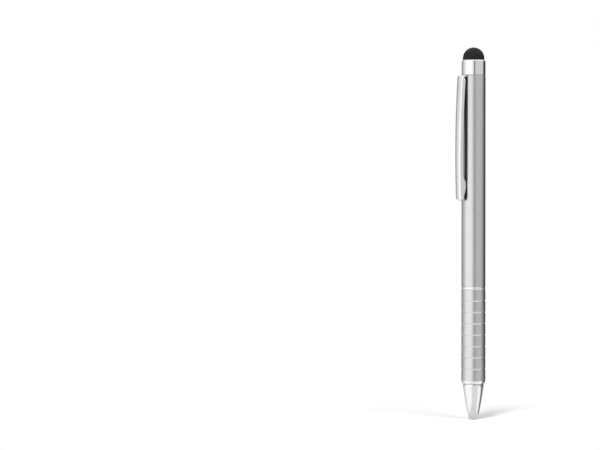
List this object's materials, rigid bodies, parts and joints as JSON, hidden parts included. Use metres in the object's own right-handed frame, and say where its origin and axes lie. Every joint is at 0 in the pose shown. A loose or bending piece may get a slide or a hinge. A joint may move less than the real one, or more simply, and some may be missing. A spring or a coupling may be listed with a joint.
{
  "type": "stylus pen",
  "caption": "Twist-action ball pen with a satin barrel, grooved grip, chrome trim, spring clip and a soft rubber stylus dome for touch screens.",
  "frame": {"origin": "centre of the flat nose end, on the pen's axis", "axes": "+Z along the pen from the nose to the stylus dome, clip on the -Y side, +X to the right seen from the clip"},
  "size_m": [0.009, 0.0122, 0.1383],
  "materials": {
    "chrome": "bright chrome plate on turned brass",
    "clip_chrome": "stamped spring steel, bright chrome plate",
    "grip_aluminium": "satin anodised silver with bright diamond-cut grooves",
    "barrel_aluminium": "satin anodised silver",
    "stylus_rubber": "matt black conductive silicone rubber",
    "brass": "turned brass",
    "guide_acetal": "white acetal",
    "cam_acetal": "dark grey acetal",
    "plunger_acetal": "white acetal",
    "spring_steel": "drawn spring wire",
    "pin_steel": "ground steel pin",
    "point_metal": "turned nickel silver",
    "ball_carbide": "polished carbide",
    "refill_metal": "drawn tube, nickel plated",
    "ink": "blue-black paste ink",
    "grease": "pale follower grease",
    "core_plastic": "moulded plastic plug"
  },
  "bodies": {
    "lower": {"nose_cone": "chrome", "front_ring": "chrome", "grip_barrel": "grip_aluminium", "centre_ring": "chrome", "coupling_bush": "brass", "guide_tube": "guide_acetal", "retaining_ring": "spring_steel", "return_spring": "spring_steel"},
    "upper": {"upper_barrel": "barrel_aluminium", "cam_sleeve": "cam_acetal", "top_cap": "chrome", "cap_core": "core_plastic", "stylus_dome": "stylus_rubber"},
    "refill": {"refill_point": "point_metal", "refill_tube": "refill_metal", "ink_column": "ink", "grease_plug": "grease", "plunger": "plunger_acetal", "drive_pin": "pin_steel"},
    "ball": {"writing_ball": "ball_carbide"},
    "clip": {"clip": "clip_chrome"}
  },
  "joints": [
    {"name": "barrel_twist", "type": "hinge", "parent": "lower", "child": "upper", "pos_m": [0, 0, 0.0492], "axis": [0, 0, -1], "range_deg": [0, 180]},
    {"name": "refill_slide", "type": "slide", "parent": "lower", "child": "refill", "axis": [0, 0, -1], "range_m": [0, 0.0045], "deforming": ["return_spring"]},
    {"name": "ball_roll", "type": "hinge", "parent": "refill", "child": "ball", "pos_m": [0, 0, 0.0021], "axis": [1, 0, 0], "continuous": true},
    {"name": "clip_flex", "type": "hinge", "parent": "upper", "child": "clip", "pos_m": [0, -0.0045, 0.1274], "axis": [-1, 0, 0], "range_deg": [0, 3.5], "stiffness_Nm_per_rad": 2.5, "springref_deg": -0.57}
  ],
  "couplings": [
    {"joint": "barrel_twist", "follows": "refill_slide", "rad_per_m": 698.13}
  ]
}
